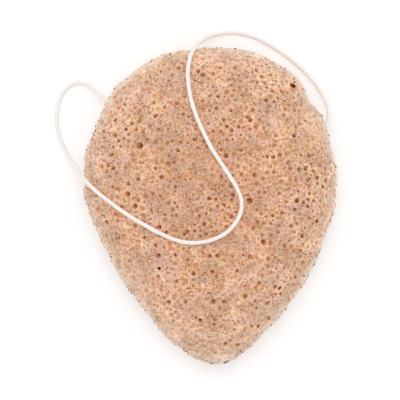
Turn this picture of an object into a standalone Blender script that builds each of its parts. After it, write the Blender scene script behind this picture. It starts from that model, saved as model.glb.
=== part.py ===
"""A teardrop exfoliating sponge of plant-fibre foam, with a thin hanging cord threaded through it.

The sponge lies on its flat back, with its wide end at +Y and its point at -Y. The origin is
the middle of its back. Lengths are in metres.
"""

import math
import random

import bmesh
import bpy
from mathutils import Matrix, Vector
from mathutils.bvhtree import BVHTree
from mathutils.geometry import interpolate_bezier

# Outline of the sponge, seen from above
SPONGE_LENGTH = 0.100
SPONGE_WIDTH = 0.080
WIDEST_FROM_POINT = 0.0563
CROWN_HANDLE = 0.0318
SHOULDER_HANDLE = 0.0150
FLANK_HANDLE = 0.0177
POINT_HANDLE = 0.0140
POINT_LEAN = 0.0018
OUTLINE_STEPS = 14

# Section of the sponge: a flat back, a steep wall and a puffed face
SPONGE_THICKNESS = 0.025
WALL_HEIGHT = 0.0075
WALL_DRAFT = 0.0004
BACK_ROUNDING = 0.0020
BACK_ROUNDING_STEPS = 2
DOME_FULLNESS = 2.4
CROWN_RADIUS = 0.040
DOME_STEPS = 9

# Pores open on the face, the wall and the back
PORE_DIAMETER_SMALL = 0.0018
PORE_DIAMETER_LARGE = 0.0030
PORE_LAND = 0.0006
PORES_ON_FACE = 190
PORES_ON_WALL = 50
PORES_ON_BACK = 40
PORE_SIDES = 6
PORE_RINGS = 4
PORE_TRIES = 400
PORE_SEED = 11
REST_PATCH_RADIUS = 0.012

# Hanging cord, its knot and the channel that the cord is threaded through
CORD_DIAMETER = 0.0012
CORD_SIDES_RESOLUTION = 2
CORD_STEP = 0.0039
THREAD_CLEARANCE = 0.0003
KNOT_DIAMETER = 0.0032
KNOT_LENGTH = 0.0040
KNOT_AT = Vector((-0.0120, 0.0240, 0.0055))
MOUTH_CLEARANCE = 0.0030

# Route of the cord outside its knot, from the knot's left end round to its right end.
# It leaves the left mouth, lies on the table, crosses the face and enters the right mouth.
ROUTE_IN_SPONGE_LEFT = [
    (-0.0255, 0.0263, 0.0055),
    (-0.0303, 0.0296, 0.0054),
    (-0.0335, 0.0332, 0.0050),
]
ROUTE_OUTSIDE = [
    (-0.0372, 0.0370, 0.0036),
    (-0.0414, 0.0390, 0.0015),
    (-0.0455, 0.0374, 0.0007),
    (-0.0482, 0.0329, 0.0007),
    (-0.0489, 0.0275, 0.0007),
    (-0.0480, 0.0215, 0.0007),
    (-0.0455, 0.0163, 0.0011),
    (-0.0424, 0.0117, 0.0058),
    (-0.0392, 0.0075, 0.0131),
    (-0.0338, 0.0027, 0.0185),
    (-0.0232, -0.0047, 0.0225),
    (-0.0105, -0.0109, 0.0244),
    (-0.0030, -0.0114, 0.0249),
    (0.0040, -0.0089, 0.0252),
    (0.0083, -0.0042, 0.0254),
    (0.0095, 0.0007, 0.0255),
    (0.0079, 0.0056, 0.0257),
    (0.0043, 0.0114, 0.0258),
    (-0.0006, 0.0192, 0.0254),
    (-0.0055, 0.0304, 0.0234),
    (-0.0073, 0.0400, 0.0198),
    (-0.0067, 0.0462, 0.0160),
    (-0.0053, 0.0493, 0.0121),
    (-0.0036, 0.0515, 0.0074),
    (0.0003, 0.0538, 0.0023),
    (0.0060, 0.0548, 0.0008),
    (0.0128, 0.0537, 0.0007),
    (0.0207, 0.0496, 0.0007),
    (0.0300, 0.0422, 0.0010),
    (0.0355, 0.0347, 0.0028),
    (0.0371, 0.0296, 0.0046),
]
ROUTE_IN_SPONGE_RIGHT = [
    (0.0363, 0.0253, 0.0055),
    (0.0325, 0.0230, 0.0056),
    (0.0100, 0.0236, 0.0055),
]

FOAM_COLOUR = (0.78, 0.50, 0.33, 1.0)
CORD_COLOUR = (0.92, 0.89, 0.84, 1.0)


def clear_scene():
    for item in list(bpy.data.objects):
        bpy.data.objects.remove(item, do_unlink=True)


def new_collection(name):
    group = bpy.data.collections.new(name)
    bpy.context.scene.collection.children.link(group)
    return group


def make_material(name, colour, roughness):
    material = bpy.data.materials.new(name)
    material.use_nodes = True
    shader = material.node_tree.nodes["Principled BSDF"]
    shader.inputs["Base Color"].default_value = colour
    shader.inputs["Roughness"].default_value = roughness
    shader.inputs["Metallic"].default_value = 0.0
    return material


def object_from_bmesh(name, bm, group, material=None):
    mesh = bpy.data.meshes.new(name)
    bm.to_mesh(mesh)
    bm.free()
    item = bpy.data.objects.new(name, mesh)
    group.objects.link(item)
    if material:
        mesh.materials.append(material)
    return item


def hide_cutter(item):
    item.hide_render = True
    item.display_type = "WIRE"


def outline_loop():
    """Points round the teardrop, anticlockwise from the middle of the wide end."""
    crown_y = SPONGE_LENGTH / 2
    widest_y = WIDEST_FROM_POINT - SPONGE_LENGTH / 2
    half = SPONGE_WIDTH / 2
    knots = [
        (Vector((0.0, crown_y)), Vector((CROWN_HANDLE, 0.0)), Vector((-CROWN_HANDLE, 0.0))),
        (Vector((-half, widest_y)), Vector((0.0, SHOULDER_HANDLE)), Vector((0.0, -FLANK_HANDLE))),
        (Vector((POINT_LEAN, -crown_y)), Vector((-POINT_HANDLE, 0.0)), Vector((POINT_HANDLE, 0.0))),
        (Vector((half, widest_y)), Vector((0.0, -FLANK_HANDLE)), Vector((0.0, SHOULDER_HANDLE))),
    ]
    points = []
    for index, (here, _, leave) in enumerate(knots):
        there, arrive, _ = knots[(index + 1) % len(knots)]
        run = interpolate_bezier(here, here + leave, there + arrive, there, OUTLINE_STEPS + 1)
        points.extend(run[:-1])
    return points


def section_stations():
    """Pairs of outline scale and height, from the edge of the flat back up to the last dome ring."""
    half = SPONGE_WIDTH / 2
    stations = []
    for step in range(BACK_ROUNDING_STEPS + 1):
        angle = math.radians(90) * step / BACK_ROUNDING_STEPS
        inset = WALL_DRAFT + BACK_ROUNDING * (1 - math.sin(angle))
        stations.append((1 - inset / half, BACK_ROUNDING * (1 - math.cos(angle))))
    stations.append((1.0, WALL_HEIGHT))
    rise = SPONGE_THICKNESS - WALL_HEIGHT
    for step in range(1, DOME_STEPS):
        angle = math.radians(90) * step / DOME_STEPS
        scale = math.cos(angle) ** (2 / DOME_FULLNESS)
        stations.append((scale, WALL_HEIGHT + rise * math.sin(angle)))
    return stations


def make_sponge_body(group, material):
    """Rings of the teardrop outline, bridged one by one up the section and closed at the crown.

    The higher a ring on the dome, the nearer its form is to a circle.
    """
    middle = Vector((0.0, WIDEST_FROM_POINT - SPONGE_LENGTH / 2))
    outline = outline_loop()
    bm = bmesh.new()

    def add_ring(scale, height):
        flat = []
        for point in outline:
            arm = point - middle
            rounded = arm.normalized() * CROWN_RADIUS
            blend = 1 - scale if height > WALL_HEIGHT else 0
            flat.append(middle + arm.lerp(rounded, blend) * scale)
        verts = [bm.verts.new((spot.x, spot.y, height)) for spot in flat]
        return [bm.edges.new((verts[index - 1], verts[index])) for index in range(len(verts))]

    rings = [add_ring(scale, height) for scale, height in section_stations()]
    bmesh.ops.contextual_create(bm, geom=rings[0])
    for lower, upper in zip(rings, rings[1:]):
        bmesh.ops.bridge_loops(bm, edges=lower + upper)
    cap = bmesh.ops.contextual_create(bm, geom=rings[-1])["faces"]
    crown = bmesh.ops.poke(bm, faces=cap)["verts"][0]
    crown.co = (middle.x, middle.y, SPONGE_THICKNESS)
    bmesh.ops.recalc_face_normals(bm, faces=bm.faces)
    return object_from_bmesh("sponge", bm, group, material)


def surface_finder(body):
    """A function that gives the point and normal where a ray meets the uncut body."""
    tree = BVHTree.FromPolygons(
        [vert.co.copy() for vert in body.data.vertices],
        [list(face.vertices) for face in body.data.polygons],
    )

    def find(start, direction):
        point, normal, _, _ = tree.ray_cast(start, direction)
        return (point, normal) if point else None

    return find


def pore_places(find, mouths):
    """Pores thrown at random on the face, the wall and the back, each clear of the others."""
    draw = random.Random(PORE_SEED)
    outline = outline_loop()
    reach = Vector((SPONGE_WIDTH, SPONGE_LENGTH, SPONGE_THICKNESS))
    pores = []

    def on_face():
        x = draw.uniform(-0.5, 0.5) * reach.x
        y = draw.uniform(-0.5, 0.5) * reach.y
        return Vector((x, y, 2 * reach.z)), Vector((0.0, 0.0, -1.0))

    def on_wall():
        point = draw.choice(outline)
        height = draw.uniform(0.35, 1.4) * WALL_HEIGHT
        return Vector((2 * point.x, 2 * point.y, height)), Vector((-point.x, -point.y, 0.0))

    def on_back():
        x = draw.uniform(-0.46, 0.46) * reach.x
        y = draw.uniform(-0.46, 0.46) * reach.y
        return Vector((x, y, -reach.z)), Vector((0.0, 0.0, 1.0))

    def is_free(point, radius):
        if point.z < BACK_ROUNDING and point.xy.length < REST_PATCH_RADIUS + radius:
            return False
        if any((point - mouth).length < radius + MOUTH_CLEARANCE for mouth in mouths):
            return False
        return all((point - other).length > radius + size + PORE_LAND for other, _, size in pores)

    for throw, wanted in ((on_wall, PORES_ON_WALL), (on_face, PORES_ON_FACE), (on_back, PORES_ON_BACK)):
        placed = 0
        for _ in range(PORE_TRIES * wanted):
            if placed == wanted:
                break
            radius = draw.uniform(PORE_DIAMETER_SMALL, PORE_DIAMETER_LARGE) / 2
            hit = find(*throw())
            if hit and is_free(hit[0], radius):
                pores.append((hit[0], hit[1], radius))
                placed += 1
    return pores


def make_pore_cutter(pores, group):
    bm = bmesh.new()
    draw = random.Random(PORE_SEED)
    for point, normal, radius in pores:
        turn = normal.to_track_quat("Z", "Y").to_matrix().to_4x4()
        spin = Matrix.Rotation(draw.uniform(0, math.tau), 4, "Z")
        bmesh.ops.create_uvsphere(
            bm,
            u_segments=PORE_SIDES,
            v_segments=PORE_RINGS,
            radius=radius,
            matrix=Matrix.Translation(point) @ turn @ spin,
        )
    cutter = object_from_bmesh("pore_cutter", bm, group)
    hide_cutter(cutter)
    return cutter


def smooth_route(points, step):
    """Points about one step apart along a smooth curve through the given points."""
    points = [Vector(point) for point in points]
    dense = []
    for index in range(len(points) - 1):
        here, there = points[index], points[index + 1]
        before = points[index - 1] if index else here
        after = points[index + 2] if index + 2 < len(points) else there
        span = (there - here).length
        leave = (there - before).normalized() * span / 3
        arrive = (after - here).normalized() * span / 3
        dense.extend(interpolate_bezier(here, here + leave, there - arrive, there, 24)[:-1])
    dense.append(points[-1])
    travelled = [0.0]
    for here, there in zip(dense, dense[1:]):
        travelled.append(travelled[-1] + (there - here).length)
    count = math.ceil(travelled[-1] / step)
    even = []
    index = 0
    for number in range(count + 1):
        target = travelled[-1] * number / count
        while index < len(dense) - 2 and travelled[index + 1] < target:
            index += 1
        share = (target - travelled[index]) / (travelled[index + 1] - travelled[index])
        even.append(dense[index].lerp(dense[index + 1], min(1.0, share)))
    return even


def cord_points():
    """The whole cord, from the left end of its knot to the right end."""
    reach = Vector((KNOT_LENGTH / 2 + THREAD_CLEARANCE, 0.0, 0.0))
    route = [KNOT_AT - reach] + ROUTE_IN_SPONGE_LEFT + ROUTE_OUTSIDE + ROUTE_IN_SPONGE_RIGHT
    return smooth_route(route + [KNOT_AT + reach], CORD_STEP)


def make_tube(name, points, diameter, group, material=None):
    curve = bpy.data.curves.new(name, "CURVE")
    curve.dimensions = "3D"
    curve.bevel_depth = diameter / 2
    curve.bevel_resolution = CORD_SIDES_RESOLUTION
    curve.use_fill_caps = True
    spline = curve.splines.new("POLY")
    spline.points.add(len(points) - 1)
    for spot, point in zip(spline.points, points):
        spot.co = (*point, 1.0)
    tube = bpy.data.objects.new(name, curve)
    group.objects.link(tube)
    if material:
        curve.materials.append(material)
    return tube


def mesh_from_curve(tube, group):
    """The curve's tube as a closed mesh object, in place of the curve."""
    bpy.context.view_layer.update()
    mesh = bpy.data.meshes.new_from_object(tube.evaluated_get(bpy.context.evaluated_depsgraph_get()))
    bm = bmesh.new()
    bm.from_mesh(mesh)
    bmesh.ops.remove_doubles(bm, verts=bm.verts, dist=0.000001)
    bmesh.ops.recalc_face_normals(bm, faces=bm.faces)
    bm.to_mesh(mesh)
    bm.free()
    item = bpy.data.objects.new(tube.name + "_mesh", mesh)
    item.matrix_world = tube.matrix_world
    group.objects.link(item)
    bpy.data.objects.remove(tube, do_unlink=True)
    return item


def make_channel_cutters(points, group):
    """Two tubes, a little wider than the cord, that follow it from its knot out through each mouth."""
    width = CORD_DIAMETER + 2 * THREAD_CLEARANCE
    left_count = next(index for index, point in enumerate(points) if point.z < WALL_HEIGHT / 3)
    right_count = next(index for index, point in enumerate(reversed(points)) if point.z < WALL_HEIGHT / 3)
    inner = Vector((CORD_DIAMETER, 0.0, 0.0))
    cutters = []
    for name, run in (
        ("left_channel", [points[0] + inner] + points[:left_count]),
        ("right_channel", points[-right_count:] + [points[-1] - inner]),
    ):
        cutter = mesh_from_curve(make_tube(name, run, width, group), group)
        hide_cutter(cutter)
        cutters.append(cutter)
    return cutters


def knot_ball(name, extra, group, material=None):
    """A short ball along X that stands for the tied knot, or for the room that it pulls open."""
    bm = bmesh.new()
    stretch = Matrix.Diagonal((
        KNOT_LENGTH + 2 * extra,
        KNOT_DIAMETER + 2 * extra,
        KNOT_DIAMETER + 2 * extra,
        1.0,
    ))
    bmesh.ops.create_uvsphere(bm, u_segments=12, v_segments=8, radius=0.5,
                              matrix=Matrix.Translation(KNOT_AT) @ stretch)
    return object_from_bmesh(name, bm, group, material)


def cut(item, cutter):
    modifier = item.modifiers.new(cutter.name, "BOOLEAN")
    modifier.operation = "DIFFERENCE"
    modifier.solver = "EXACT"
    modifier.object = cutter


def main():
    clear_scene()
    parts = new_collection("exfoliating_sponge")
    cutters = new_collection("cutters")
    foam = make_material("foam", FOAM_COLOUR, 0.85)
    cotton = make_material("cotton", CORD_COLOUR, 0.80)

    points = cord_points()
    make_tube("hanging_cord", points, CORD_DIAMETER, parts, cotton)
    knot_ball("cord_knot", 0.0, parts, cotton)

    sponge = make_sponge_body(parts, foam)
    mouths = [Vector(ROUTE_IN_SPONGE_LEFT[-1]), Vector(ROUTE_IN_SPONGE_RIGHT[0])]
    pores = pore_places(surface_finder(sponge), mouths)
    knot_room = knot_ball("knot_room", THREAD_CLEARANCE, cutters)
    hide_cutter(knot_room)
    cut(sponge, knot_room)
    for channel in make_channel_cutters(points, cutters):
        cut(sponge, channel)
    cut(sponge, make_pore_cutter(pores, cutters))


main()
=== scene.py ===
import math
import bpy
import numpy as np
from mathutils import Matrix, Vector
from mathutils.geometry import interpolate_bezier


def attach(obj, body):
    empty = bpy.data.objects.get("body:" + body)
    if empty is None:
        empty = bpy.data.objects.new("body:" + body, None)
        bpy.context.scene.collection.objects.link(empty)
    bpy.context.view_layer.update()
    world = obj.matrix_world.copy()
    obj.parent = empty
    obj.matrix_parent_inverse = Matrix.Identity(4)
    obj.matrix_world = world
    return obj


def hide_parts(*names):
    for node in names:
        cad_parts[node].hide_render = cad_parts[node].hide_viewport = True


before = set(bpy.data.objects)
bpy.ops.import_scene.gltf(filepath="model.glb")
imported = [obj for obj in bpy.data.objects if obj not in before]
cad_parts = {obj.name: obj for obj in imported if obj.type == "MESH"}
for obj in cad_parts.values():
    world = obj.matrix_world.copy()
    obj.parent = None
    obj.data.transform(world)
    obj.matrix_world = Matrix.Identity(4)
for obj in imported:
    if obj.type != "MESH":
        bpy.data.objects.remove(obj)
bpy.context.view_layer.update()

# Sizes of the sponge's body, the same as its solid's, in metres
SPONGE_LENGTH = 0.100
SPONGE_WIDTH = 0.080
SPONGE_THICKNESS = 0.025
WIDEST_FROM_POINT = 0.0563
CROWN_HANDLE = 0.0318
SHOULDER_HANDLE = 0.0150
FLANK_HANDLE = 0.0177
POINT_HANDLE = 0.0140
POINT_LEAN = 0.0018
WALL_HEIGHT = 0.0075
WALL_DRAFT = 0.0004
BACK_ROUNDING = 0.0020
DOME_FULLNESS = 2.4
CROWN_RADIUS = 0.040

# Swells and dents of the outline: direction in degrees, how far out, and width in degrees
OUTLINE_SWELLS = [
    (14, -0.0006, 12), (40, -0.0012, 5), (52, 0.0004, 6), (70, 0.0003, 6), (98, -0.0004, 4),
    (134, 0.0005, 6), (167, 0.0007, 5), (178, -0.0009, 2.5), (184, 0.0005, 3), (201, -0.0005, 6),
    (215, -0.0004, 4), (230, 0.0003, 5), (254, 0.0008, 5), (265, 0.0006, 4), (290, -0.0006, 4),
    (317, 0.0005, 6), (327, 0.0004, 4), (339, -0.0003, 5), (357, -0.0005, 6),
]

# The foam's grid: its step in metres, its box in millimetres, and how many triangles its surface keeps
GRID_STEP = 0.00036
GRID_LOW = (-43.5, -53.0, -1.6)
GRID_HIGH = (43.5, 53.0, 27.6)
FOAM_TRIANGLES = 196000

# Unevenness of the foam's surface: how high and how wide, in millimetres, and how deep it reaches
SURFACE_SWELLS = ((0.22, 9.0), (0.14, 4.0), (0.24, 1.9), (0.15, 0.9))
SWELL_DEPTH = 2.5

# The start of the random numbers
SEED = 27

# Open cells of the surface: spacing, range of radii and room between them in millimetres, and places tried
CELL_SPACING = 1.8
CELL_RADII = (0.44, 0.84)
CELL_ROOM = 0.25
CELL_TRIES = 30000
FINE_CELL_SPACING = 1.05
FINE_CELL_RADII = (0.26, 0.46)
FINE_CELL_ROOM = 0.10
FINE_CELL_TRIES = 70000

# How dark the scattered cells are: patches of this width, then the usual, how far it varies, and the least
TONE_PATCH_WIDTH = 13.0
TONE_USUAL = 0.58
TONE_CHANGE = 0.6
TONE_LEAST = 0.15

# Cells that only show through the skin
GHOST_SPACING = 2.4
GHOST_RADII = (0.6, 1.2)
GHOST_TRIES = 30000

# The raised rim of an open cell and its blend, in millimetres, and how far its dark pit, a painted shade
# inside the cell, lies aside, in radii
RIM_HEIGHT = 0.08
FINE_RIM_HEIGHT = 0.06
RIM_WIDTH = 0.24
LIP_BLEND = 0.15
PIT_SHADE_ASIDE = 0.38
RIM_REACH = 0.9

# The distance from a cell that is given where there is none, in radii
FAR_FROM_CELLS = 3.0

# Dark seeds that are set in the face: place and radius in millimetres
DARK_SEEDS = [(25.8, 37.7, 0.74), (-16.3, -19.7, 0.50), (26.1, 38.8, 0.34), (24.9, 38.1, 0.34)]

# The most noticeable cells: place and radius in millimetres, and how dark. All are cut this much wider
LANDMARK_GROWTH = 1.15
LANDMARK_CELLS = [
    (-17.4, 28.2, 0.70, 0.6), (-22.4, 18.8, 0.95, 0.7), (-18.0, 32.3, 0.60, 0.5), (-27.5, 37.1, 0.60, 0.9),
    (-23.4, 23.8, 0.60, 0.5), (-30.6, 11.8, 0.75, 0.6), (-9.5, 20.0, 0.60, 0.6), (-4.1, 18.1, 0.55, 0.7),
    (-8.2, 34.2, 0.60, 0.5), (-14.5, 30.8, 0.55, 0.5), (-31.9, 9.0, 0.60, 0.5), (-15.5, 8.7, 0.65, 0.7),
    (25.8, 38.0, 0.95, 1.0), (-4.1, 42.1, 0.65, 0.8), (-5.1, 39.3, 0.55, 0.6), (2.2, 34.2, 0.60, 0.5),
    (6.0, 29.8, 0.60, 0.7), (12.3, 26.7, 0.70, 0.6), (11.3, 27.9, 0.70, 0.7), (3.1, 23.2, 0.60, 0.6),
    (5.0, 20.7, 0.55, 0.6), (9.4, 17.5, 0.60, 0.6), (4.4, 15.6, 0.75, 0.7), (26.2, 22.2, 0.75, 0.8),
    (21.4, 15.9, 0.65, 0.6), (19.5, 15.3, 0.60, 0.6), (13.5, 9.6, 0.75, 0.6), (20.2, 21.9, 0.55, 0.5),
    (-26.2, 6.8, 0.70, 0.5), (-26.2, 3.6, 0.85, 0.7), (-24.0, -0.2, 0.80, 0.8), (-15.2, 9.0, 0.60, 0.7),
    (-11.4, 5.8, 0.60, 0.9), (-22.7, 8.4, 0.65, 0.6), (-16.4, -6.8, 0.75, 0.8), (-13.9, -8.4, 0.65, 0.9),
    (-8.5, -9.0, 0.60, 0.8), (-7.3, -8.0, 0.60, 0.9), (-0.3, 2.1, 0.70, 0.7), (-10.8, -3.0, 0.60, 0.6),
    (-20.9, -9.9, 0.65, 0.6), (-17.4, -12.5, 0.70, 0.8), (-16.8, -15.6, 0.80, 0.8), (-11.1, -15.6, 0.65, 0.7),
    (-16.3, -19.7, 0.60, 1.0), (0.3, -20.7, 0.75, 0.6), (-5.4, -21.0, 0.75, 0.7), (-13.6, -30.4, 0.80, 0.8),
    (8.2, -20.3, 0.60, 0.6), (0.6, -30.1, 0.80, 0.6), (4.1, -30.1, 0.75, 0.5), (10.7, -28.2, 0.85, 0.5),
    (-3.5, -36.1, 0.65, 0.9), (0.9, -37.4, 0.60, 0.6), (12.9, -38.0, 0.60, 0.7), (14.8, -38.0, 0.55, 0.8),
    (8.5, -43.7, 0.65, 0.5), (4.4, -43.4, 0.65, 0.6), (16.4, -11.5, 0.80, 0.9), (2.2, -15.9, 0.75, 0.5),
    (-0.3, -15.9, 0.65, 0.6), (18.0, -16.9, 0.60, 0.5), (12.0, 1.7, 0.95, 0.9), (6.9, 3.3, 0.70, 0.7),
    (26.8, 1.7, 0.75, 0.7), (26.2, -1.4, 0.65, 0.6), (25.2, -6.5, 0.65, 0.6), (28.7, -9.6, 0.70, 0.7),
    (33.4, -4.9, 0.75, 0.7), (22.1, -2.4, 0.65, 0.6), (16.7, 3.9, 0.60, 0.6), (19.2, -3.0, 0.60, 0.5),
]

# Grains: how many at the rim and anywhere, their radii in metres, and how far out they stand, in radii
DARK_GRAINS = (170, 60, (0.00024, 0.00040), 0.1)
GOLD_GRAINS = (70, 620, (0.00020, 0.00038), 0.15)
SEED_STANDS_OUT = 0.1
GRAIN_STRETCH = (0.75, 1.2)
GRAIN_FACETS = 5
FACET_PLACES = (0.55, 0.8)

# The hanging cord and its knot
CORD_DIAMETER = 0.00128
CORD_RING_STEP = 0.00030
CORD_SIDES = 18
CORD_PLIES = 3
CORD_PITCH = 0.0042
CORD_WANDER = ((0.03, 0.0113), (0.02, 0.0047))
GROOVE_BOTTOM = 0.92
GROOVE_DEPTH = 0.10
GROOVE_POWER = 0.8
THREAD_CLEARANCE = 0.0003
KNOT_LENGTH = 0.0040
KNOT_CORD_DIAMETER = 0.00095
KNOT_RING_STEP = 0.00020
KNOT_SIDES = 12
KNOT_PITCH = 0.0032
KNOT_AT = Vector((-0.0120, 0.0240, 0.0055))
LEFT_MOUTH = Vector((-0.0335, 0.0332, 0.0050))
RIGHT_MOUTH = Vector((0.0363, 0.0253, 0.0055))
ROUTE_IN_SPONGE_LEFT = [(-0.0255, 0.0263, 0.0055), (-0.0303, 0.0296, 0.0054), (-0.0335, 0.0332, 0.0050)]
ROUTE_OUTSIDE = [
    (-0.0372, 0.0370, 0.0036), (-0.0414, 0.0390, 0.0015), (-0.0455, 0.0374, 0.0007),
    (-0.0482, 0.0329, 0.0007), (-0.0489, 0.0275, 0.0007), (-0.0480, 0.0215, 0.0007),
    (-0.0455, 0.0163, 0.0011), (-0.0424, 0.0117, 0.0058), (-0.0392, 0.0075, 0.0131),
    (-0.0338, 0.0027, 0.0185), (-0.0232, -0.0047, 0.0225), (-0.0105, -0.0109, 0.0244),
    (-0.0030, -0.0114, 0.0249), (0.0040, -0.0089, 0.0252), (0.0083, -0.0042, 0.0254),
    (0.0095, 0.0007, 0.0255), (0.0079, 0.0056, 0.0257), (0.0043, 0.0114, 0.0258),
    (-0.0006, 0.0192, 0.0254), (-0.0055, 0.0304, 0.0234), (-0.0073, 0.0400, 0.0198),
    (-0.0067, 0.0462, 0.0160), (-0.0053, 0.0493, 0.0121), (-0.0036, 0.0515, 0.0074),
    (0.0003, 0.0538, 0.0023), (0.0060, 0.0548, 0.0008), (0.0128, 0.0537, 0.0007),
    (0.0207, 0.0496, 0.0007), (0.0300, 0.0422, 0.0010), (0.0355, 0.0347, 0.0028),
    (0.0371, 0.0296, 0.0046),
]
ROUTE_IN_SPONGE_RIGHT = [(0.0363, 0.0253, 0.0055), (0.0325, 0.0230, 0.0056), (0.0100, 0.0236, 0.0055)]

# How far the foam is kept clear of the cord's line and of the knot, in millimetres
CHANNEL_RADIUS = 0.95
MOUTH_RADIUS = 1.35
KNOT_ROOM_RADIUS = 2.1
KNOT_ROOM_REACH = 3.4
KNOT_MIDDLE_RADIUS = 2.2
KNOT_MIDDLE_PLACES = (-2.0, -1.0, 0.0, 1.0, 2.0)
OUTSIDE_CLEARANCE = 0.12
CHANNEL_BLEND = 0.10
CHANNEL_REACH = 0.8

# The photograph's frame: its width at the height of the sponge's wall, and its middle
VIEW_WIDTH = 0.12618
VIEW_MIDDLE = (-0.00350, 0.00174)
CAMERA_HEIGHT = 1.5
CAMERA_REACH = 20
SENSOR_WIDTH = 36

# Floor and light: sizes and places in metres, and how bright each is
FLOOR_SIZE = 6.0
FLOOR_DROP = 0.0001
FLOOR_GREY = 0.88
PAPER_GREY = 0.66
PAPER_GLOW = 0.40
SKY_LIGHT = 0.80
LAMP_PLACE = Vector((0.0, 0.40, 1.1))
LAMP_SIZE = 0.7
LAMP_LIGHT = 0.23


# Curves

def smooth_route(points, step):
    """A smooth curve through the points, as points about one step apart."""
    points = [Vector(point) for point in points]
    dense = []
    for index in range(len(points) - 1):
        here, there = points[index], points[index + 1]
        before = points[index - 1] if index else here
        after = points[index + 2] if index + 2 < len(points) else there
        span = (there - here).length
        leave = (there - before).normalized() * span / 3
        arrive = (after - here).normalized() * span / 3
        dense.extend(interpolate_bezier(here, here + leave, there - arrive, there, 24)[:-1])
    dense.append(points[-1])
    line = np.array(dense)
    along = np.concatenate([[0], np.cumsum(np.linalg.norm(np.diff(line, axis=0), axis=1))])
    at = np.linspace(0, along[-1], round(along[-1] / step) + 1)
    return np.stack([np.interp(at, along, line[:, axis]) for axis in range(3)], axis=1)


def cord_points():
    """Every point of the cord's route, from one end of the knot round to the other."""
    reach = Vector((KNOT_LENGTH / 2 + THREAD_CLEARANCE, 0, 0))
    middle = ROUTE_IN_SPONGE_LEFT + ROUTE_OUTSIDE + ROUTE_IN_SPONGE_RIGHT
    return [tuple(KNOT_AT - reach)] + middle + [tuple(KNOT_AT + reach)]


def steady_frames(line):
    """Two directions across the line at each of its points, turning as little as they can."""
    ahead = np.gradient(line, axis=0)
    ahead /= np.linalg.norm(ahead, axis=1)[:, None]
    across = np.cross(ahead[0], (0, 0, 1.0))
    across /= np.linalg.norm(across)
    sides = []
    for direction in ahead:
        across = across - direction * across.dot(direction)
        across /= np.linalg.norm(across)
        sides.append(across)
    sides = np.array(sides)
    return sides, np.cross(ahead, sides)


def knot_points():
    """Every point of the knot: a curve that crosses itself three times, as an overhand knot does."""
    end, reach, steps = 2.3, 2.05, 24
    lengthwise, across = 0.125, 0.42
    route = [(-end, 0.0, 0.0)]
    for step in range(steps + 1):
        t = -reach + 2 * reach * step / steps
        route.append((
            (t ** 5 - 10 * t) * lengthwise,
            (t ** 3 - 3 * t) * across,
            (t ** 4 - 4 * t * t + 2) * across,
        ))
    route.append((end, 0.0, 0.0))
    return [tuple(np.array(KNOT_AT) + np.array(point) / 1000) for point in route]


def mesh_object(name, points, faces):
    """A smooth shaded piece from lists of points and faces."""
    mesh = bpy.data.meshes.new(name)
    mesh.from_pydata([tuple(p) for p in points], [], [tuple(f) for f in faces])
    mesh.update()
    mesh.polygons.foreach_set("use_smooth", [True] * len(mesh.polygons))
    piece = bpy.data.objects.new(name, mesh)
    bpy.context.scene.collection.objects.link(piece)
    return piece


def twisted_tube(name, line, diameter, pitch, sides):
    """A round tube along the line, with the grooves of twisted plies running round it."""
    across, up = steady_frames(line)
    along = np.concatenate([[0], np.cumsum(np.linalg.norm(np.diff(line, axis=0), axis=1))])
    turn = np.arange(sides) * 2 * math.pi / sides
    lobe = turn[None, :] * CORD_PLIES - along[:, None] * 2 * math.pi * CORD_PLIES / pitch
    wander = 1.0
    for share, length in CORD_WANDER:
        wander = wander + share * np.sin(along * 2 * math.pi / length)
    groove = GROOVE_BOTTOM + GROOVE_DEPTH * np.abs(np.cos(lobe / 2)) ** GROOVE_POWER
    radius = diameter / 2 * wander[:, None] * groove
    ring = radius[..., None] * (
        np.cos(turn)[None, :, None] * across[:, None, :] + np.sin(turn)[None, :, None] * up[:, None, :]
    )
    points = (line[:, None, :] + ring).reshape(-1, 3)
    faces = []
    for row in range(len(line) - 1):
        here, there = row * sides, (row + 1) * sides
        for side in range(sides):
            after = (side + 1) % sides
            faces.append((here + side, here + after, there + after, there + side))
    last = (len(line) - 1) * sides
    faces.append(tuple(reversed(range(sides))))
    faces.append(tuple(range(last, last + sides)))
    return mesh_object(name, points, faces)


# The body as a field of distances, on a grid in millimetres

def outline_radius(angles):
    """The distance from the middle to the outline in each direction, in millimetres."""
    crown_y = SPONGE_LENGTH / 2
    widest_y = WIDEST_FROM_POINT - SPONGE_LENGTH / 2
    half = SPONGE_WIDTH / 2
    knots = [
        (Vector((0, crown_y)), Vector((CROWN_HANDLE, 0)), Vector((-CROWN_HANDLE, 0))),
        (Vector((-half, widest_y)), Vector((0, SHOULDER_HANDLE)), Vector((0, -FLANK_HANDLE))),
        (Vector((POINT_LEAN, -crown_y)), Vector((-POINT_HANDLE, 0)), Vector((POINT_HANDLE, 0))),
        (Vector((half, widest_y)), Vector((0, -FLANK_HANDLE)), Vector((0, SHOULDER_HANDLE))),
    ]
    loop = []
    for index, (here, _, leave) in enumerate(knots):
        there, arrive, _ = knots[(index + 1) % 4]
        loop.extend(interpolate_bezier(here, here + leave, there + arrive, there, 120)[:-1])
    arms = np.array(loop) * 1000 - (0, widest_y * 1000)
    direction = np.degrees(np.arctan2(arms[:, 1], arms[:, 0])) % 360
    order = np.argsort(direction)
    reach = np.interp(angles, direction[order], np.linalg.norm(arms, axis=1)[order], period=360)
    for middle, out, width in OUTLINE_SWELLS:
        away = (angles - middle + 180) % 360 - 180
        reach = reach + out * 1000 * np.exp(-(away / width) ** 2)
    return reach


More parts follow.
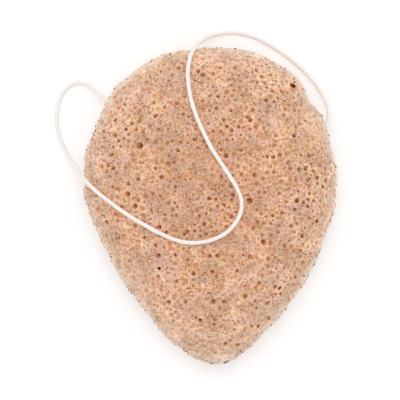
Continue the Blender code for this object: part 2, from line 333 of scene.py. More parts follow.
def value_noise(shape, cell, rng):
    """Smooth random values from -1 to 1 over a grid, with a random value every so many grid steps."""
    field = rng.uniform(-1, 1, [int(size / cell) + 3 for size in shape]).astype(np.float32)
    for axis, size in enumerate(shape):
        at = np.arange(size) / cell
        low = at.astype(int)
        part = (at - low).astype(np.float32)
        part = part * part * (3 - 2 * part)
        form = [1, 1, 1]
        form[axis] = size
        part = part.reshape(form)
        field = np.take(field, low, axis) * (1 - part) + np.take(field, low + 1, axis) * part
    return field


class Grid:
    """A box of evenly spaced points round the sponge, in millimetres."""

    def __init__(self):
        self.step = GRID_STEP * 1000
        self.low = np.array(GRID_LOW)
        self.shape = np.ceil((np.array(GRID_HIGH) - self.low) / self.step).astype(int) + 1
        self.x, self.y, self.z = (
            (self.low[axis] + self.step * np.arange(self.shape[axis])).astype(np.float32) for axis in range(3)
        )

    def block(self, middle, reach):
        """The part of the grid within reach of a point, and how far it lies from it along each axis."""
        first = np.maximum(np.floor((middle - reach - self.low) / self.step).astype(int), 0)
        last = np.minimum(np.ceil((middle + reach - self.low) / self.step).astype(int) + 1, self.shape)
        part = tuple(slice(a, b) for a, b in zip(first, last))
        dx = self.x[part[0]][:, None, None] - np.float32(middle[0])
        dy = self.y[part[1]][None, :, None] - np.float32(middle[1])
        dz = self.z[part[2]][None, None, :] - np.float32(middle[2])
        return part, dx, dy, dz

    def sample(self, field, points):
        """The field's values at any points, straight between the grid's own."""
        at = (points - self.low) / self.step
        first = np.clip(np.floor(at).astype(int), 0, self.shape - 2)
        part = np.clip(at - first, 0, 1)
        value = np.zeros(len(points))
        for corner in range(8):
            bits = np.array([corner >> 2 & 1, corner >> 1 & 1, corner & 1])
            weight = np.prod(np.where(bits, part, 1 - part), axis=1)
            i, j, k = (first + bits).T
            value += weight * field[i, j, k]
        return value


def body_field(grid):
    """How far each point lies outside the smooth body, and its place from middle (0) to outline (1)."""
    middle_y = (WIDEST_FROM_POINT - SPONGE_LENGTH / 2) * 1000
    x, y = np.meshgrid(grid.x, grid.y - middle_y, indexing="ij")
    away = np.hypot(x, y)
    reach = outline_radius(np.degrees(np.arctan2(y, x)) % 360)
    crown = CROWN_RADIUS * 1000
    least_bend, least_slope, farthest = 0.02, 0.004, 9
    bend = np.where(np.abs(reach - crown) < least_bend, least_bend, reach - crown)
    scale = (np.sqrt(crown * crown + 4 * bend * away) - crown) / (2 * bend)
    scale = np.where(scale < 1, scale, away / reach)
    scale = np.where(np.isfinite(scale), scale, away / reach)
    rise = (SPONGE_THICKNESS - WALL_HEIGHT) * 1000
    wall = WALL_HEIGHT * 1000
    lift = np.clip((grid.z - wall) / rise, 0, None)
    draft = 1 - WALL_DRAFT / (SPONGE_WIDTH / 2) * np.clip((wall - grid.z) / wall, 0, 1)
    form = (scale[..., None] / draft) ** DOME_FULLNESS + lift ** 2 - 1
    form = form.astype(np.float32)
    slope = np.gradient(form, grid.step)
    steep = np.sqrt(slope[0] ** 2 + slope[1] ** 2 + slope[2] ** 2)
    side = np.clip(form / np.maximum(steep, least_slope), -farthest, farthest)
    rounding = BACK_ROUNDING * 1000
    under = np.broadcast_to(-grid.z, side.shape)
    out = np.sqrt(np.maximum(side + rounding, 0) ** 2 + np.maximum(under + rounding, 0) ** 2)
    field = np.minimum(np.maximum(side + rounding, under + rounding), 0) + out - rounding
    return field.astype(np.float32), scale.astype(np.float32)


def near_home(found, home):
    """Everything that is kept under a box of space or one of the 26 boxes round it."""
    for x in (home[0] - 1, home[0], home[0] + 1):
        for y in (home[1] - 1, home[1], home[1] + 1):
            for z in (home[2] - 1, home[2], home[2] + 1):
                yield from found.get((x, y, z), ())


def spread_points(surface_points, spacing, rng, tries):
    """A random choice of the points with no two nearer than the spacing."""
    taken = {}
    kept = []
    for index in rng.permutation(len(surface_points))[:tries]:
        p = surface_points[index]
        home = tuple((p // spacing).astype(int))
        if all(
            (p[0] - q[0]) ** 2 + (p[1] - q[1]) ** 2 + (p[2] - q[2]) ** 2 >= spacing * spacing
            for q in near_home(taken, home)
        ):
            taken.setdefault(home, []).append(p)
            kept.append(index)
    return np.array(kept)


def surface_net(grid, field):
    """The surface where the field is zero, as points and four-sided faces."""
    inside = field < 0
    count = np.zeros(np.array(field.shape) - 1, np.int8)
    for corner in range(8):
        a, b, c = corner >> 2 & 1, corner >> 1 & 1, corner & 1
        count += inside[a:a + count.shape[0], b:b + count.shape[1], c:c + count.shape[2]]
    mixed = (count > 0) & (count < 8)
    cells = np.argwhere(mixed)
    number = np.full(mixed.shape, -1, np.int32)
    number[mixed] = np.arange(len(cells))
    total = np.zeros((len(cells), 3))
    crossings = np.zeros(len(cells))
    corners = [np.array([n >> 2 & 1, n >> 1 & 1, n & 1]) for n in range(8)]
    for first in corners:
        for axis in range(3):
            if first[axis]:
                continue
            second = first.copy()
            second[axis] = 1
            va = field[tuple((cells + first).T)]
            vb = field[tuple((cells + second).T)]
            cross = (va < 0) != (vb < 0)
            part = np.where(cross, va / np.where(cross, va - vb, 1), 0)
            spot = first[None, :] + np.zeros((len(cells), 1))
            spot[:, axis] = part
            total += spot * cross[:, None]
            crossings += cross
    points = grid.low + (cells + total / crossings[:, None]) * grid.step
    faces = []
    for axis in range(3):
        others = [a for a in range(3) if a != axis]
        here = [slice(1, -1)] * 3
        here[axis] = slice(0, -1)
        there = list(here)
        there[axis] = slice(1, None)
        a, b = inside[tuple(here)], inside[tuple(there)]
        for way in (True, False):
            edges = np.argwhere((a != b) & (a == way))
            edges[:, others] += 1
            quad = []
            for du, dv in ((0, 0), (-1, 0), (-1, -1), (0, -1)):
                cell = edges.copy()
                cell[:, others[0]] += du
                cell[:, others[1]] += dv
                quad.append(number[tuple(cell.T)])
            quad = np.stack(quad, axis=1)
            turned = way == (axis != 1)
            faces.append(quad if turned else quad[:, ::-1])
    return points, np.concatenate(faces)


def largest_part(points, faces):
    """The mesh without the loose crumbs that overlapping cells have cut free."""
    label = np.arange(len(points))
    pairs = np.concatenate([faces[:, [0, 1]], faces[:, [1, 2]], faces[:, [2, 3]]])
    while True:
        low = np.minimum(label[pairs[:, 0]], label[pairs[:, 1]])
        fresh = label.copy()
        np.minimum.at(fresh, pairs[:, 0], low)
        np.minimum.at(fresh, pairs[:, 1], low)
        fresh = fresh[fresh]
        if (fresh == label).all():
            break
        label = fresh
    names, counts = np.unique(label, return_counts=True)
    keep = label == names[counts.argmax()]
    number = np.cumsum(keep) - 1
    return points[keep], number[faces[keep[faces[:, 0]]]]


def smooth_most(a, b, blend):
    """The larger of two fields, rounded where they meet."""
    part = np.clip(0.5 + 0.5 * (a - b) / blend, 0, 1)
    return b + (a - b) * part + blend * part * (1 - part)


class Foam:
    """The field of the porous body, and what is painted on it, over the same grid."""

    def __init__(self, grid, rng):
        self.grid = grid
        self.rng = rng
        self.body, self.scale = body_field(grid)
        self.field = self.body.copy()
        self.cell = np.full(self.body.shape, FAR_FROM_CELLS, np.float32)
        self.pit_shade = np.full(self.body.shape, FAR_FROM_CELLS, np.float32)
        self.tone = np.zeros(self.body.shape, np.float32)
        self.ghost = np.full(self.body.shape, FAR_FROM_CELLS, np.float32)
        self.slopes = np.gradient(self.body, grid.step)
        self.cells = {}

    def normals(self, points):
        """The directions straight out of the smooth body at the points."""
        n = np.stack([self.grid.sample(slope, points) for slope in self.slopes], axis=1)
        return n / np.maximum(np.linalg.norm(n, axis=1), 1e-6)[:, None]

    def is_free(self, place, room):
        """Whether no cell that is already open comes within that distance of a place."""
        home = (place // CELL_SPACING).astype(int)
        return all(math.dist(cell[:3], place) >= cell[3] + room for cell in near_home(self.cells, home))

    def undulate(self):
        """Slow swells and fine roughness of the surface."""
        near = np.exp(-(self.body / SWELL_DEPTH) ** 2)
        shape, step = self.grid.shape, self.grid.step
        swell, wave, rough, fine = (
            height * value_noise(shape, width / step, self.rng) for height, width in SURFACE_SWELLS
        )
        self.field += near * ((swell + wave) + (rough + fine))

    def open_cell(self, place, normal, mouth, sunk, tone, rim=RIM_HEIGHT):
        """Cuts one round cell open at the surface, with a raised rim. It is deeper the more it is sunk."""
        radius = mouth / math.sqrt(1 - sunk * sunk)
        middle = place - normal * radius * sunk
        self.cells.setdefault(tuple((place // CELL_SPACING).astype(int)), []).append((*place, mouth))
        part, dx, dy, dz = self.grid.block(middle, radius + RIM_REACH)
        square = dx * dx + dy * dy + dz * dz
        away = np.sqrt(square)
        along = dx * np.float32(normal[0]) + dy * np.float32(normal[1]) + dz * np.float32(normal[2])
        field = self.field[part] - rim * np.exp(-((away - radius) / RIM_WIDTH) ** 2)
        self.field[part] = smooth_most(field, radius - away, LIP_BLEND)
        ratio = np.sqrt(np.maximum(square - along * along, 0)) / mouth
        nearer = ratio < self.cell[part]
        # The dark pit is painted shade, set off the cell's middle to one side
        aside = np.cross(normal, self.rng.normal(size=3))
        aside *= PIT_SHADE_ASIDE * mouth / np.linalg.norm(aside)
        over = dx * np.float32(aside[0]) + dy * np.float32(aside[1]) + dz * np.float32(aside[2])
        pit_shade = np.sqrt(np.maximum(square - along * along - 2 * over + (PIT_SHADE_ASIDE * mouth) ** 2, 0)) / mouth
        self.pit_shade[part] = np.where(nearer, pit_shade, self.pit_shade[part])
        self.cell[part] = np.where(nearer, ratio, self.cell[part])
        self.tone[part] = np.where(nearer, tone, self.tone[part])

    def hidden_cell(self, middle, radius):
        """Marks a cell that only shows through the skin."""
        part, dx, dy, dz = self.grid.block(middle, radius * 1.6 + 0.4)
        ratio = np.sqrt(dx * dx + dy * dy + dz * dz) / radius
        self.ghost[part] = np.minimum(self.ghost[part], ratio)

    def hollow(self, line, radius):
        """Keeps the foam clear of a line, by a radius that is given for each of its points."""
        for point, reach in zip(line, radius):
            part, dx, dy, dz = self.grid.block(point, reach + CHANNEL_REACH)
            away = np.sqrt(dx * dx + dy * dy + dz * dz)
            self.field[part] = smooth_most(self.field[part], reach - away, CHANNEL_BLEND)


def open_cells(foam, places, normals, rng):
    """Cuts the noticeable cells, then the scattered ones in two sizes, and marks the hidden ones."""
    grid = foam.grid
    faces_up = normals[:, 2] > 0.2
    upper, upper_normals = places[faces_up], normals[faces_up]
    for x, y, mouth, tone in LANDMARK_CELLS:
        nearest = np.hypot(upper[:, 0] - x, upper[:, 1] - y).argmin()
        sunk = rng.uniform(-0.3, 0.2)
        foam.open_cell(upper[nearest], upper_normals[nearest], mouth * LANDMARK_GROWTH, sunk, tone)

    # The scattered cells are darker in some broad patches than in others, and paler near the outline
    patches = grid.sample(value_noise(grid.shape, TONE_PATCH_WIDTH / grid.step, rng), places)
    shown = np.clip(TONE_USUAL + TONE_CHANGE * patches, TONE_LEAST, 1.0)
    reach = grid.sample(np.broadcast_to(foam.scale[..., None], foam.body.shape), places)
    shown *= np.clip((1.02 - reach) / 0.12, 0.35, 1.0)
    for index in spread_points(places, CELL_SPACING, rng, CELL_TRIES):
        mouth = CELL_RADII[0] + (CELL_RADII[1] - CELL_RADII[0]) * rng.random() ** 2
        if foam.is_free(places[index], mouth + CELL_ROOM):
            tone = (0.25 + 0.75 * rng.random() ** 1.4) * shown[index]
            foam.open_cell(places[index], normals[index], mouth, rng.uniform(-0.4, 0.3), tone)
    for index in spread_points(places, FINE_CELL_SPACING, rng, FINE_CELL_TRIES):
        mouth = rng.uniform(*FINE_CELL_RADII)
        if foam.is_free(places[index], mouth + FINE_CELL_ROOM):
            tone = 0.9 * rng.random() ** 1.3 * shown[index]
            sunk = rng.uniform(-0.3, 0.4)
            foam.open_cell(places[index], normals[index], mouth, sunk, tone, FINE_RIM_HEIGHT)
    for index in spread_points(places, GHOST_SPACING, rng, GHOST_TRIES):
        radius = rng.uniform(*GHOST_RADII)
        foam.hidden_cell(places[index] - normals[index] * radius * rng.uniform(0.1, 0.7), radius)


def clear_of_cord(foam, cord_line):
    """Hollows the channel, its two mouths and the room of the knot."""
    line = cord_line * 1000
    knot = np.array(KNOT_AT) * 1000
    inside = foam.grid.sample(foam.body, line) < -0.4
    knot_room = np.linalg.norm(line - knot, axis=1) < KNOT_ROOM_REACH
    outside_radius = CORD_DIAMETER * 500 + OUTSIDE_CLEARANCE
    radius = np.where(knot_room, KNOT_ROOM_RADIUS, np.where(inside, CHANNEL_RADIUS, outside_radius))
    foam.hollow(line, radius)
    for x in KNOT_MIDDLE_PLACES:
        foam.hollow([knot + (x, 0, 0)], [KNOT_MIDDLE_RADIUS])
    for mouth in (LEFT_MOUTH, RIGHT_MOUTH):
        foam.hollow([np.array(mouth) * 1000], [MOUTH_RADIUS])


def make_foam(cord_line):
    """The porous body as one mesh, with what its material needs at each point."""
    rng = np.random.default_rng(SEED)
    grid = Grid()
    foam = Foam(grid, rng)
    places, _ = surface_net(grid, foam.body)
    normals = foam.normals(places)
    foam.undulate()
    open_cells(foam, places, normals, rng)
    clear_of_cord(foam, cord_line)
    foam.field = np.maximum(foam.field, -grid.z)
    points, faces = largest_part(*surface_net(grid, foam.field))
    piece = mesh_from_arrays("foam_raw", points / 1000, faces)
    thin = piece.modifiers.new("Thin", "DECIMATE")
    thin.ratio = min(1.0, FOAM_TRIANGLES / (2 * len(faces)))
    depsgraph = bpy.context.evaluated_depsgraph_get()
    mesh = bpy.data.meshes.new_from_object(piece.evaluated_get(depsgraph))
    bpy.data.objects.remove(piece)
    mesh.name = "sponge_foam"
    mesh.polygons.foreach_set("use_smooth", [True] * len(mesh.polygons))
    body = bpy.data.objects.new("sponge_foam", mesh)
    bpy.context.scene.collection.objects.link(body)

    at = np.empty(len(mesh.vertices) * 3, np.float32)
    mesh.vertices.foreach_get("co", at)
    at = at.reshape(-1, 3).astype(float) * 1000
    for name, field in (("cell", foam.cell), ("pit_shade", foam.pit_shade), ("tone", foam.tone), ("ghost", foam.ghost)):
        put_values(mesh, name, grid.sample(field, at))
    put_values(mesh, "depth", np.clip(-grid.sample(foam.body, at), -1, 3))
    put_values(mesh, "rim", grid.sample(np.broadcast_to(foam.scale[..., None], foam.body.shape), at))
    return body


def mesh_from_arrays(name, points, faces):
    """A piece from large arrays of points and of faces that all have as many corners."""
    mesh = bpy.data.meshes.new(name)
    mesh.vertices.add(len(points))
    mesh.vertices.foreach_set("co", points.astype(np.float32).ravel())
    mesh.loops.add(faces.size)
    mesh.loops.foreach_set("vertex_index", faces.astype(np.int32).ravel())
    mesh.polygons.add(len(faces))
    mesh.polygons.foreach_set("loop_start", np.arange(0, faces.size, faces.shape[1], dtype=np.int32))
    mesh.update(calc_edges=True)
    piece = bpy.data.objects.new(name, mesh)
    bpy.context.scene.collection.objects.link(piece)
    return piece


def put_values(mesh, name, values):
    """One number for each point of the mesh, for its material to read."""
    layer = mesh.attributes.new(name, "FLOAT", "POINT")
    layer.data.foreach_set("value", values.astype(np.float32))


# Materials

class Nodes:
    """Short ways to add the nodes of one material."""

    def __init__(self, name):
        self.material = bpy.data.materials.new(name)
        self.material.use_nodes = True
        self.tree = self.material.node_tree
        self.shader = self.tree.nodes["Principled BSDF"]
        self.place = self.add("ShaderNodeTexCoord").outputs["Object"]

    def add(self, kind, **settings):
        node = self.tree.nodes.new(kind)
        for name, value in settings.items():
            setattr(node, name, value)
        return node

    def join(self, source, socket):
        """Leads an output to a socket, or sets the socket to a plain value."""
        if isinstance(source, bpy.types.NodeSocket):
            self.tree.links.new(source, socket)
        else:
            socket.default_value = source

    def attribute(self, name):
        return self.add("ShaderNodeAttribute", attribute_name=name).outputs["Fac"]

    def math(self, operation, a, b):
        node = self.add("ShaderNodeMath", operation=operation)
        self.join(a, node.inputs[0])
        self.join(b, node.inputs[1])
        return node.outputs[0]

    def ramp(self, value, low, high, to_low=0.0, to_high=1.0):
        """A smooth change from one number to another as the value goes from low to high."""
        node = self.add("ShaderNodeMapRange", interpolation_type="SMOOTHSTEP")
        for socket, item in zip(node.inputs, (value, low, high, to_low, to_high)):
            self.join(item, socket)
        return node.outputs[0]

    def shifted(self, shift):
        """The place on the object, moved far enough to show another part of a pattern."""
        moved = self.add("ShaderNodeVectorMath", operation="ADD")
        self.join(self.place, moved.inputs[0])
        moved.inputs[1].default_value = (shift, shift * 0.7, shift * 0.3)
        return moved.outputs[0]

    def drawn_about(self, shift, millimetres):
        """The shifted place, drawn about by clouds of this width and reach, so that cells are uneven."""
        cloud = self.add("ShaderNodeTexNoise")
        self.join(self.shifted(shift + 1.0), cloud.inputs["Vector"])
        cloud.inputs["Scale"].default_value = 1000 / millimetres
        cloud.inputs["Detail"].default_value = 1.0
        away = self.add("ShaderNodeVectorMath", operation="MULTIPLY_ADD")
        self.join(cloud.outputs["Color"], away.inputs[0])
        away.inputs[1].default_value = (millimetres / 1000, millimetres / 1000, millimetres / 1000)
        self.join(self.shifted(shift), away.inputs[2])
        return away.outputs[0]

    def noise(self, millimetres, detail=2.0, roughness=0.5, shift=0.0):
        """Cloudy values round a half, whose patches are about this wide."""
        node = self.add("ShaderNodeTexNoise")
        self.join(self.shifted(shift), node.inputs["Vector"])
        node.inputs["Scale"].default_value = 1000 / millimetres
        node.inputs["Detail"].default_value = detail
        node.inputs["Roughness"].default_value = roughness
        return node.outputs["Fac"]

    def small_cells(self, millimetres, shift=0.0):
        """Distance from the wall and from the middle of packed cells, and a random number for each cell."""
        middle, chance = self.voronoi(millimetres, shift)
        wall, _ = self.voronoi(millimetres, shift, "DISTANCE_TO_EDGE")
        return wall, middle, chance

    def voronoi(self, millimetres, shift=0.0, feature="F1"):
        """Distance from the nearest of many scattered points, in spacings, and that point's random number."""
        node = self.add("ShaderNodeTexVoronoi", feature=feature)
        self.join(self.drawn_about(shift, millimetres), node.inputs["Vector"])
        node.inputs["Scale"].default_value = 1000 / millimetres
        if feature != "F1":
            return node.outputs["Distance"], None
        parts = self.add("ShaderNodeSeparateColor")
        self.join(node.outputs["Color"], parts.inputs[0])
        return node.outputs["Distance"], parts.outputs[0]

    def away_from(self, x, y):
        """Distance in millimetres from an upright line through the point."""
        flat = self.add("ShaderNodeVectorMath", operation="MULTIPLY")
        self.join(self.place, flat.inputs[0])
        flat.inputs[1].default_value = (1000, 1000, 0)
        node = self.add("ShaderNodeVectorMath", operation="DISTANCE")
        self.join(flat.outputs[0], node.inputs[0])
        node.inputs[1].default_value = (x, y, 0)
        return node.outputs["Value"]

    def height(self):
        """Height over the floor in millimetres."""
        parts = self.add("ShaderNodeSeparateXYZ")
        self.join(self.place, parts.inputs[0])
        return self.math("MULTIPLY", parts.outputs[2], 1000)

    def mix(self, part, a, b):
        """Colour a where the part is 0, and colour b where it is 1."""
        node = self.add("ShaderNodeMix", data_type="RGBA")
        self.join(part, node.inputs[0])
        self.join(a, node.inputs[6])
        self.join(b, node.inputs[7])
        return node.outputs[2]

    def brighten(self, colour, times):
        node = self.add("ShaderNodeVectorMath", operation="SCALE")
        self.join(colour, node.inputs[0])
        self.join(times, node.inputs["Scale"])
        return node.outputs[0]

    def bump(self, height, strength, distance):
        node = self.add("ShaderNodeBump")
        node.inputs["Strength"].default_value = strength
        node.inputs["Distance"].default_value = distance
        self.join(height, node.inputs["Height"])
        self.join(node.outputs["Normal"], self.shader.inputs["Normal"])

    def surface(self, **values):
        """Plain values for the shader's own sockets, by their names with underscores for blanks."""
        for name, value in values.items():
            self.shader.inputs[name.replace("_", " ")].default_value = value


def tint(red, green, blue):
    """A colour as it is seen on a screen, from 0 to 255, as the renderer's own numbers."""
    def one(value):
        value /= 255
        return value / 12.92 if value <= 0.04045 else ((value + 0.055) / 1.055) ** 2.4
    return (one(red), one(green), one(blue), 1.0)


def foam_material():
    """Sandy brown foam, painted from the values that the mesh holds and from procedural patterns."""
    n = Nodes("konjac_foam")
    cell, tone, ghost = n.attribute("cell"), n.attribute("tone"), n.attribute("ghost")
    depth, rim, pit_shade_distance = n.attribute("depth"), n.attribute("rim"), n.attribute("pit_shade")

    # Patches of colour in several widths
    veil = n.ramp(n.noise(11.0, 3.0, 0.6), 0.42, 0.58)
    colour = n.mix(veil, tint(212, 141, 83), tint(214, 170, 146))
    olive = n.ramp(n.noise(4.5, 2.0, 0.5, 2.9), 0.52, 0.62, 0.0, 0.7)
    colour = n.mix(olive, colour, tint(214, 158, 94))
    lilac = n.ramp(n.noise(4.6, 3.0, 0.6, 8.3), 0.47, 0.57, 0.0, 0.9)
    colour = n.mix(lilac, colour, tint(216, 181, 168))
    golden = n.ramp(n.noise(8.0, 2.0, 0.5, 12.7), 0.50, 0.62, 0.0, 0.4)
    colour = n.mix(golden, colour, tint(222, 168, 116))
    patch = n.ramp(n.noise(3.2, 2.0, 0.6, 0.3), 0.50, 0.60, 0.0, 0.9)
    colour = n.mix(patch, colour, tint(202, 123, 66))
    cast = n.noise(1.8, 1.0, 0.5, 15.1)
    colour = n.mix(n.ramp(cast, 0.50, 0.60, 0.0, 0.70), colour, tint(225, 176, 112))
    colour = n.mix(n.ramp(cast, 0.48, 0.38, 0.0, 0.55), colour, tint(214, 154, 138))

    # Fine packed cells with pale walls and dark middles, and pale dots, all weaker where the foam is lilac
    grainy = n.ramp(lilac, 0.0, 0.9, 1.0, 0.45)
    for spacing, shift, dark in ((1.9, 0.4, tint(156, 102, 70)), (1.3, 1.3, tint(162, 108, 78))):
        wall, middle, chance = n.small_cells(spacing, shift)
        line = n.math("MULTIPLY", n.ramp(wall, 0.14, 0.02, 0.0, 0.6), grainy)
        colour = n.mix(line, colour, tint(250, 213, 187))
        dot = n.math("MULTIPLY", n.ramp(middle, 0.40, 0.10), n.ramp(chance, 0.3, 0.9, 0.0, 0.9))
        colour = n.mix(n.math("MULTIPLY", dot, grainy), colour, dark)
    for spacing, shift in ((1.2, 1.9), (1.7, 3.7)):
        middle, chance = n.voronoi(spacing, shift)
        dot = n.math("MULTIPLY", n.ramp(middle, 0.40, 0.14), n.ramp(chance, 0.60, 0.85, 0.0, 0.9))
        colour = n.mix(n.math("MULTIPLY", dot, grainy), colour, tint(254, 218, 188))

    # Cells that show through the skin
    disc = n.ramp(ghost, 1.0, 0.8, 0.0, 0.35)
    colour = n.mix(disc, colour, tint(208, 142, 96))
    ring = n.math("MULTIPLY", n.ramp(ghost, 0.84, 0.98), n.ramp(ghost, 1.24, 1.06))
    colour = n.mix(n.math("MULTIPLY", ring, 0.45), colour, tint(248, 218, 194))

    # Painted light towards the outline: a pale painted glow standing in for light that comes through and
    # wraps round the thin edge, weaker low on the wall; browner in the middle, and slow and fine changes of
    # brightness
    shoulder = n.ramp(n.height(), 0.0, 14.0, 0.45, 1.0)
    painted_edge_glow = n.math("MULTIPLY", n.ramp(rim, 0.78, 1.0, 0.0, 0.36), shoulder)
    colour = n.mix(painted_edge_glow, colour, tint(255, 228, 202))
    painted_edge_glow = n.math("MULTIPLY", n.ramp(rim, 0.95, 1.0, 0.0, 0.50), shoulder)
    colour = n.mix(painted_edge_glow, colour, tint(255, 240, 228))
    colour = n.mix(n.ramp(rim, 0.8, 0.2, 0.0, 0.30), colour, tint(188, 124, 84))
    light = n.ramp(n.noise(0.8, 2.0, 0.6, 7.7), 0.32, 0.68, 0.84, 1.14)
    slow = n.ramp(n.noise(7.0, 2.0, 0.6, 11.3), 0.38, 0.62, 0.86, 1.10)
    colour = n.brighten(colour, n.math("MULTIPLY", light, slow))

    # The open cells: a filled disc of uneven outline, partly the cell's own browner colour and partly painted
    # shade and warm bounce light of its hollow; a painted shade to one side in it as a dark pit; and a pale
    # lip round it
    cell = n.math("ADD", cell, n.ramp(n.noise(0.7, 1.0, 0.5, 5.3), 0.3, 0.7, -0.2, 0.2))
    inner = n.ramp(cell, 1.12, 0.78)
    warmth = n.ramp(n.noise(2.4, 1.0, 0.5, 4.4), 0.44, 0.58)
    cell_colour_and_shade = n.mix(tone, tint(216, 157, 113), n.mix(warmth, tint(178, 112, 64), tint(202, 112, 56)))
    colour = n.mix(n.math("MULTIPLY", inner, n.ramp(tone, 0.0, 0.5, 0.2, 0.95)), colour, cell_colour_and_shade)
    pit_shade = n.math("MULTIPLY", n.ramp(pit_shade_distance, 0.78, 0.30), n.ramp(tone, 0.12, 0.8, 0.0, 1.0))
    colour = n.mix(n.math("MULTIPLY", pit_shade, inner), colour, tint(110, 54, 24))
    lip = n.math("MULTIPLY", n.ramp(cell, 0.95, 1.12), n.ramp(cell, 1.50, 1.20))
    colour = n.mix(n.math("MULTIPLY", lip, n.ramp(tone, 0.0, 0.6, 0.08, 0.42)), colour, tint(246, 210, 182))

    # Dark specks, painted shade in the deep places, and the stain under the large seed
    middle, chance = n.voronoi(1.1, 6.1)
    spot = n.math("MULTIPLY", n.ramp(middle, 0.38, 0.16), n.ramp(chance, 0.42, 0.55, 0.0, 0.85))
    spot = n.math("MULTIPLY", spot, n.ramp(cell, 1.1, 0.8, 0.28, 1.0))
    colour = n.mix(spot, colour, tint(118, 62, 34))
    colour = n.mix(n.ramp(depth, 0.5, 1.5, 0.0, 0.3), colour, tint(150, 80, 40))
    stain = n.ramp(n.away_from(25.8, 36.7), 1.5, 0.6, 0.0, 0.75)
    colour = n.mix(stain, colour, tint(212, 128, 62))

    n.join(colour, n.shader.inputs["Base Color"])
    n.surface(Roughness=0.7, Specular_IOR_Level=0.25)
    n.surface(Sheen_Weight=1.0, Sheen_Roughness=0.3, Sheen_Tint=tint(255, 240, 228))
    n.surface(Subsurface_Weight=0.15, Subsurface_Radius=(1.0, 0.55, 0.35), Subsurface_Scale=0.0005)
    n.bump(n.noise(0.45, 3.0, 0.6, 3.1), 0.35, 0.00025)
    return n.material


def cord_material():
    """White cotton that lets some light through."""
    n = Nodes("cotton_cord")
    colour = n.mix(n.ramp(n.noise(0.5, 2.0), 0.42, 0.66), tint(253, 243, 239), tint(247, 236, 232))
    n.join(colour, n.shader.inputs["Base Color"])
    n.surface(Roughness=0.85, Specular_IOR_Level=0.2, Sheen_Weight=0.6, Sheen_Roughness=0.4)
    n.surface(Subsurface_Weight=0.8, Subsurface_Radius=(1.0, 0.95, 0.92), Subsurface_Scale=0.0010)
    n.bump(n.noise(0.16, 2.0, 0.6), 0.35, 0.00008)
    return n.material


def grain_material(name, dark, light, roughness):
    """A material that clouds between a dark and a light colour."""
    n = Nodes(name)
    n.join(n.mix(n.ramp(n.noise(0.9, 2.0), 0.35, 0.65), dark, light), n.shader.inputs["Base Color"])
    n.surface(Roughness=roughness, Specular_IOR_Level=0.2)
    n.bump(n.noise(0.2, 2.0, 0.6), 0.4, 0.00005)
    return n.material


# Grains

def make_grains(name, places, normals, sizes, rng, stands_out):
    """Little angular stones set into the surface, all in one mesh."""
    bpy.ops.mesh.primitive_ico_sphere_add(subdivisions=2, radius=1.0)
    seed = bpy.context.object
    ball = np.array([v.co for v in seed.data.vertices])
    faces = np.array([tuple(p.vertices) for p in seed.data.polygons])
    bpy.data.objects.remove(seed)
    points, all_faces = [], []
    for index, (place, normal, size) in enumerate(zip(places, normals, sizes)):
        turn = np.linalg.qr(rng.normal(size=(3, 3)))[0]
        stretch = rng.uniform(*GRAIN_STRETCH, 3)
        knocks = rng.normal(size=(GRAIN_FACETS, 3))
        knocks /= np.linalg.norm(knocks, axis=1)[:, None]
        stone = ball.copy()
        for knock in knocks:
            high = stone @ knock
            stone -= np.clip(high - rng.uniform(*FACET_PLACES), 0, None)[:, None] * knock
        stone = (stone * stretch) @ turn.T * size
        points.append(stone + place + normal * size * stands_out)
        all_faces.append(faces + index * len(ball))
    return mesh_object(name, np.concatenate(points), np.concatenate(all_faces))


# The scene

cord_line = smooth_route(cord_points(), CORD_RING_STEP)
cord = twisted_tube("hanging_cord_cotton", cord_line, CORD_DIAMETER, CORD_PITCH, CORD_SIDES)
knot_line = smooth_route(knot_points(), KNOT_RING_STEP)
knot = twisted_tube("cord_knot_cotton", knot_line, KNOT_CORD_DIAMETER, KNOT_PITCH, KNOT_SIDES)
body = make_foam(cord_line)

rng = np.random.default_rng(SEED + 1)
skin = np.array([v.co for v in body.data.vertices])
skin_normals = np.array([v.normal for v in body.data.vertices])
reach = np.array([v.value for v in body.data.attributes["rim"].data])
hollow = np.array([v.value for v in body.data.attributes["depth"].data])


def scatter_grains(name, at_rim, anywhere, sizes, stands_out):
    """Grains at random points of the skin, some at its rim and some anywhere but in deep cells."""
    at_outline, off_floor, shallow = reach > 0.98, skin[:, 2] > 0.0015, hollow < 0.3
    rim_skin = np.nonzero(at_outline & off_floor & shallow)[0]
    any_skin = np.nonzero((hollow < 0.5) & (skin[:, 2] > 0.0007))[0]
    picked = rng.choice(rim_skin, at_rim, replace=False)
    at = np.concatenate([picked, rng.choice(any_skin, anywhere, replace=False)])
    return make_grains(name, skin[at], skin_normals[at], rng.uniform(*sizes, len(at)), rng, stands_out)


def set_seeds(name):
    """The dark seeds, each at the point of the upper skin nearest to its place."""
    top = np.nonzero(skin_normals[:, 2] > 0)[0]
    at = [top[np.hypot(skin[top, 0] - x / 1000, skin[top, 1] - y / 1000).argmin()] for x, y, _ in DARK_SEEDS]
    sizes = [radius / 1000 for _, _, radius in DARK_SEEDS]
    return make_grains(name, skin[at], skin_normals[at], sizes, rng, SEED_STANDS_OUT)


dark_grains = scatter_grains("grains_dark", *DARK_GRAINS)
seeds = set_seeds("grains_black")
gold_grains = scatter_grains("grains_gold", *GOLD_GRAINS)

cotton = cord_material()
for piece, material in (
    (body, foam_material()),
    (cord, cotton),
    (knot, cotton),
    (dark_grains, grain_material("dark_grain", tint(124, 86, 54), tint(168, 124, 86), 0.55)),
    (seeds, grain_material("black_seed", tint(44, 20, 8), tint(84, 42, 16), 0.9)),
    (gold_grains, grain_material("gold_grain", tint(222, 152, 96), tint(252, 206, 156), 0.4)),
):
    piece.data.materials.clear()
    piece.data.materials.append(material)

for piece in (body, dark_grains, seeds, gold_grains):
    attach(piece, "root")
for piece in (cord, knot):
    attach(piece, "root")
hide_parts("sponge")
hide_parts("hanging_cord")
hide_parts("cord_knot")


# Floor, light and camera

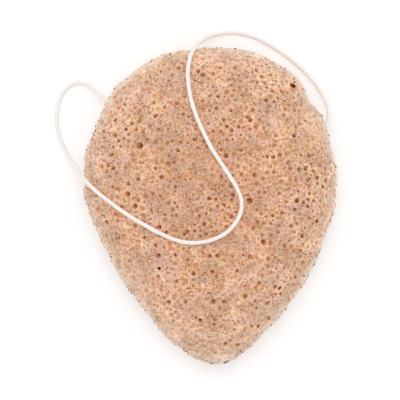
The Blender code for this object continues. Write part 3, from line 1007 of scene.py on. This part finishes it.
def background_rays(tree):
    """1 for the rays that show what lies behind the object: from the camera, off gloss and through glass."""
    paths = tree.nodes.new("ShaderNodeLightPath")
    found = paths.outputs["Is Camera Ray"]
    for ray in ("Is Glossy Ray", "Is Transmission Ray"):
        either = tree.nodes.new("ShaderNodeMath")
        either.operation = "MAXIMUM"
        tree.links.new(found, either.inputs[0])
        tree.links.new(paths.outputs[ray], either.inputs[1])
        found = either.outputs[0]
    return found


def grey(value):
    """A plain grey, as the renderer's own numbers."""
    return (value, value, value, 1)


bpy.ops.mesh.primitive_plane_add(size=FLOOR_SIZE, location=(0, 0, -FLOOR_DROP))
floor = bpy.context.object
floor.name = "floor"
n = Nodes("floor")
n.surface(Base_Color=grey(FLOOR_GREY), Roughness=0.9, Specular_IOR_Level=0.1)
paper = n.add("ShaderNodeBsdfDiffuse")
paper.inputs["Color"].default_value = grey(PAPER_GREY)
glow = n.add("ShaderNodeEmission")
glow.inputs["Strength"].default_value = PAPER_GLOW
together = n.add("ShaderNodeAddShader")
choice = n.add("ShaderNodeMixShader")
n.tree.links.new(paper.outputs[0], together.inputs[0])
n.tree.links.new(glow.outputs[0], together.inputs[1])
n.tree.links.new(background_rays(n.tree), choice.inputs[0])
n.tree.links.new(n.shader.outputs[0], choice.inputs[1])
n.tree.links.new(together.outputs[0], choice.inputs[2])
n.tree.links.new(choice.outputs[0], n.tree.nodes["Material Output"].inputs["Surface"])
floor.data.materials.append(n.material)

world = bpy.data.worlds.new("studio")
bpy.context.scene.world = world
world.use_nodes = True
tree = world.node_tree
sky = tree.nodes["Background"]
sky.inputs["Color"].default_value = grey(1)
sky.inputs["Strength"].default_value = SKY_LIGHT
white = tree.nodes.new("ShaderNodeBackground")
white.inputs["Color"].default_value = grey(1)
white.inputs["Strength"].default_value = 1.0
pick_sky = tree.nodes.new("ShaderNodeMixShader")
tree.links.new(background_rays(tree), pick_sky.inputs[0])
tree.links.new(sky.outputs[0], pick_sky.inputs[1])
tree.links.new(white.outputs[0], pick_sky.inputs[2])
tree.links.new(pick_sky.outputs[0], tree.nodes["World Output"].inputs["Surface"])

lamp = bpy.data.lights.new("softbox", "AREA")
lamp.shape = "SQUARE"
lamp.size = LAMP_SIZE
lamp.energy = LAMP_LIGHT * math.pi ** 2 * LAMP_PLACE.length_squared
lamp_object = bpy.data.objects.new("softbox", lamp)
lamp_object.location = LAMP_PLACE
lamp_object.rotation_euler = (-LAMP_PLACE).to_track_quat("-Z", "Y").to_euler()
bpy.context.scene.collection.objects.link(lamp_object)

camera = bpy.data.cameras.new("camera")
camera.sensor_width = SENSOR_WIDTH
camera.lens = SENSOR_WIDTH * (CAMERA_HEIGHT - WALL_HEIGHT) / VIEW_WIDTH
camera.clip_end = CAMERA_REACH
camera_object = bpy.data.objects.new("camera", camera)
camera_object.location = (VIEW_MIDDLE[0], VIEW_MIDDLE[1], CAMERA_HEIGHT)
bpy.context.scene.collection.objects.link(camera_object)
bpy.context.scene.camera = camera_object
bpy.context.scene.view_settings.view_transform = "Standard"
